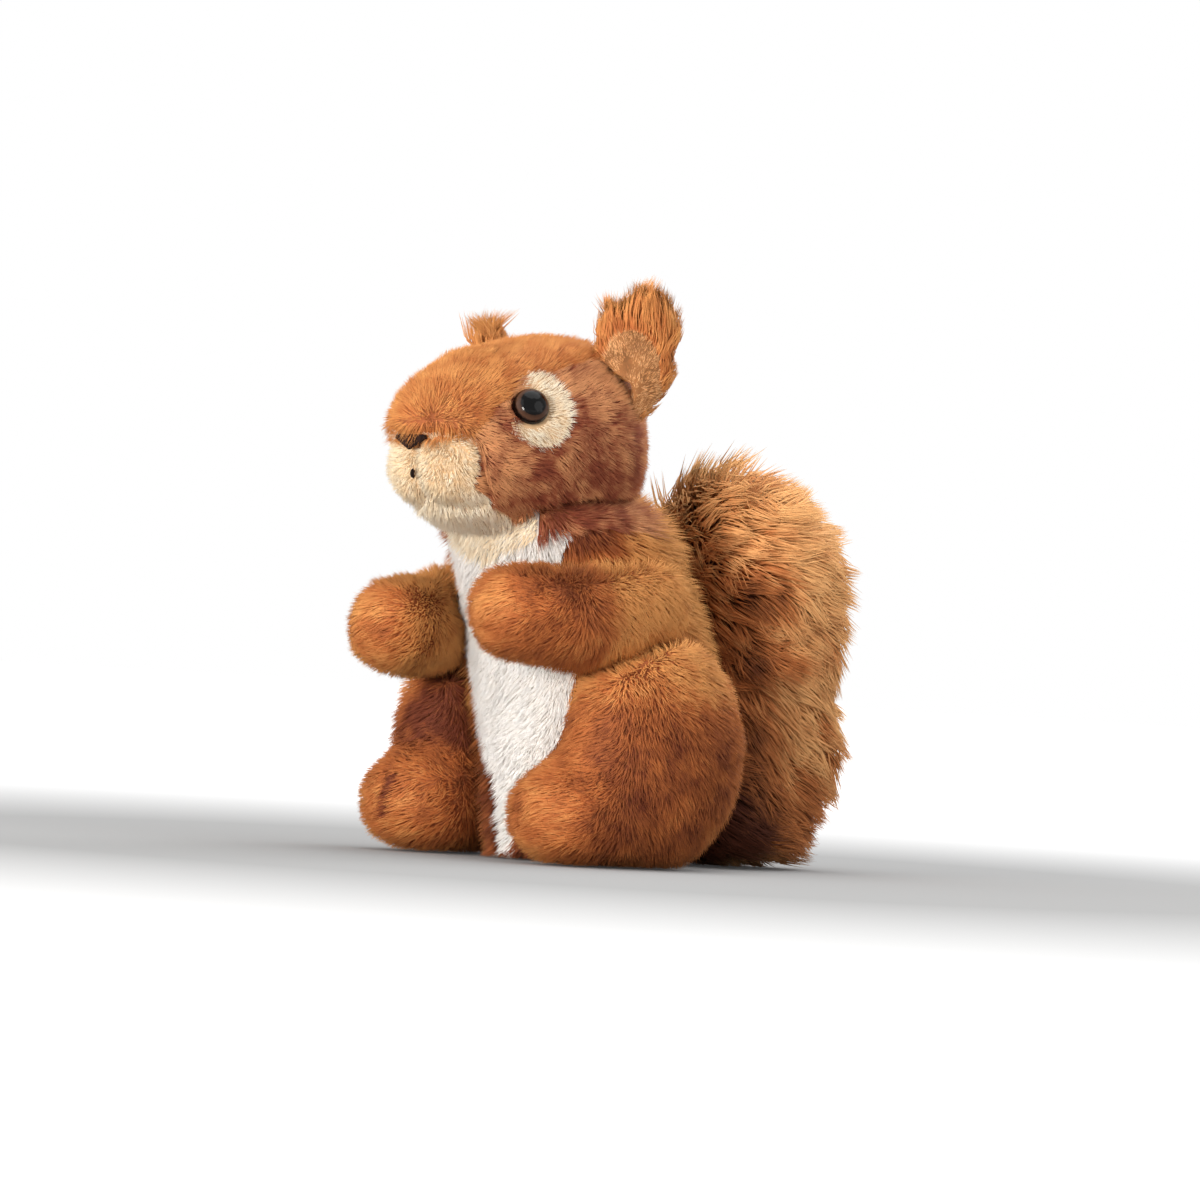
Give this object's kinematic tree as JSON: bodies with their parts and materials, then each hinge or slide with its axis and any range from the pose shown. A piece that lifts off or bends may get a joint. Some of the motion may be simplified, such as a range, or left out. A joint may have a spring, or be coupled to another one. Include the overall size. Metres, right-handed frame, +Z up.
{
  "type": "plush squirrel",
  "caption": "Sitting plush squirrel, sewn and stuffed, with a white belly, cream muzzle, glossy eyes, tufted ears and a bushy upright tail.",
  "frame": {"origin": "on the surface that it sits on, under the middle of its plan", "axes": "+Z up; it faces -Y, and its own left side is at +X"},
  "size_m": [0.136, 0.1809, 0.191],
  "materials": {
    "fox_plush": "dense woven polyester plush, orange brown tips over dark roots",
    "cheek_plush": "dense woven polyester plush, mottled red brown",
    "tail_plush": "long-pile plush in clumped locks, light tips over dark roots",
    "white_plush": "short white plush",
    "cream_plush": "short curly cream plush",
    "ear_lining": "short tan plush",
    "eye_plastic": "moulded, glossy, black pupil in a dark brown iris",
    "washer_plastic": "moulded white washer",
    "dark_thread": "satin-stitched dark brown thread"
  },
  "bodies": {
    "root": {"torso": "fox_plush", "belly_panel": "white_plush", "head": "cheek_plush", "crown_panel": "fox_plush", "throat_panel": "cream_plush", "muzzle_left": "cream_plush", "muzzle_right": "cream_plush", "eye_patch_left": "cream_plush", "eye_patch_right": "cream_plush", "eye_left": "eye_plastic", "eye_right": "eye_plastic", "eye_washer_left": "washer_plastic", "eye_washer_right": "washer_plastic", "nose_embroidery": "dark_thread", "mouth_stitch": "dark_thread", "ear_left": "fox_plush", "ear_right": "fox_plush", "ear_lining_left": "ear_lining", "ear_lining_right": "ear_lining", "arm_left": "fox_plush", "arm_right": "fox_plush", "leg_left": "fox_plush", "leg_right": "fox_plush", "tail": "tail_plush"}
  },
  "joints": []
}
